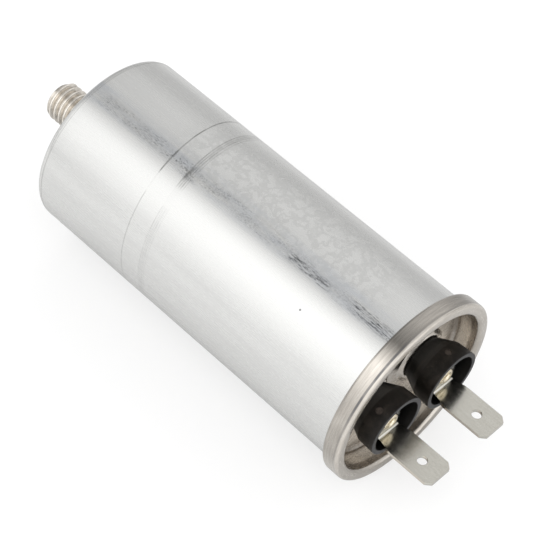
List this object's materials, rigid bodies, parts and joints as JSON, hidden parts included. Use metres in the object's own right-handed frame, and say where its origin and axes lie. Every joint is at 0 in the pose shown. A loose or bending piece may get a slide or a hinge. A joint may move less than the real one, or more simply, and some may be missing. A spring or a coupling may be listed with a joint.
{
  "type": "motor-run capacitor",
  "caption": "Motor-run capacitor: aluminium can with a threaded mounting stud, a rolled-seam lid and flat blade terminals in dark insulator cups.",
  "frame": {"origin": "centre of the can's flat bottom, at the root of the stud", "axes": "+Z runs along the can from the stud to the terminals. +X runs from the left terminal to the right one, seen with the blades behind their rivets. +Y runs from the rivets towards the blades"},
  "size_m": [0.039, 0.039, 0.1068],
  "materials": {
    "can": "drawn and lightly brushed along its length, scored and smudged",
    "lid": "satin, warm grey, polished along the rolled seam",
    "seal_rubber": "matt black",
    "spacer": "natural, matt",
    "end_spray": "rough sprayed zinc",
    "film": "metallised film, glossy",
    "core": "natural, satin",
    "sleeve": "natural, satin",
    "resin": "dark cast resin",
    "lead": "tinned copper wire",
    "insulator": "dark moulded thermoset, faintly mottled",
    "terminal": "tinned, satin, bare at the sheared edges",
    "rivet": "bright"
  },
  "bodies": {
    "root": {"can": "can", "lid": "lid", "seam_seal": "seal_rubber", "base_spacer": "spacer", "end_spray_bottom": "end_spray", "film_winding": "film", "winding_core": "core", "end_spray_top": "end_spray", "insulating_sleeve": "sleeve", "top_spacer": "spacer", "potting_resin": "resin", "lead_wire_left": "lead", "lead_wire_right": "lead", "insulator_cup_left": "insulator", "insulator_cup_right": "insulator", "gasket_left": "seal_rubber", "gasket_right": "seal_rubber", "insulator_bush_left": "insulator", "insulator_bush_right": "insulator", "terminal_tab_left": "terminal", "terminal_tab_right": "terminal", "rivet_left": "rivet", "rivet_right": "rivet", "contact_washer_left": "rivet", "contact_washer_right": "rivet"}
  },
  "joints": []
}
